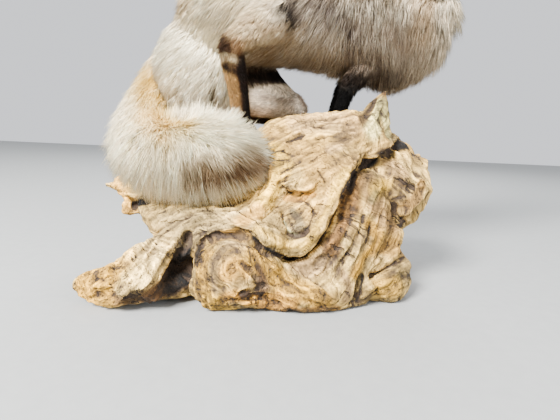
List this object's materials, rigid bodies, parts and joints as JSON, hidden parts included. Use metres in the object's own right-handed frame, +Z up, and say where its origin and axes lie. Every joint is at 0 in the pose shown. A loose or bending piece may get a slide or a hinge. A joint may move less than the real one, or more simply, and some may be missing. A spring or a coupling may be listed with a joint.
{
  "type": "taxidermy red fox on driftwood",
  "caption": "Life-size mounted red fox crouching on a weathered driftwood stump, bushy tail curled round to the front.",
  "frame": {"origin": "middle of the underside of the whole model's box, on the floor that the driftwood stands on", "axes": "+Z up, +X the way the fox faces, +Y towards the fox's left side"},
  "size_m": [0.7568, 0.4084, 0.7462],
  "materials": {
    "flank_coat": "long dense fur, cream over the rump, grizzled grey-brown on the flank, beige on the chest",
    "face_coat": "short fur, rufous on the crown, white on the cheeks and chin, black behind the ears",
    "stocking_coat": "short flat dark brown to black fur with claws",
    "tail_coat": "very long soft fur, cream with a tan band and dark underfur",
    "nose_leather": "pebbled black skin with a slight gloss",
    "glass_eye": "polished amber glass eye with an upright slit pupil",
    "driftwood": "weathered bare root wood with deep grain, cracks and dark hollows, no varnish"
  },
  "bodies": {
    "root": {"trunk": "flank_coat", "neck": "flank_coat", "head": "face_coat", "nose": "nose_leather", "eye_left": "glass_eye", "eye_right": "glass_eye", "ear_left": "face_coat", "ear_right": "face_coat", "paw_fore_right": "stocking_coat", "paw_fore_left": "stocking_coat", "paw_hind_right": "stocking_coat", "paw_hind_left": "stocking_coat", "leg_hind_right": "flank_coat", "leg_hind_left": "flank_coat", "leg_fore_right": "stocking_coat", "leg_fore_left": "stocking_coat", "tail_base": "tail_coat", "tail_middle": "tail_coat", "tail_tip": "tail_coat", "driftwood": "driftwood"}
  },
  "joints": []
}
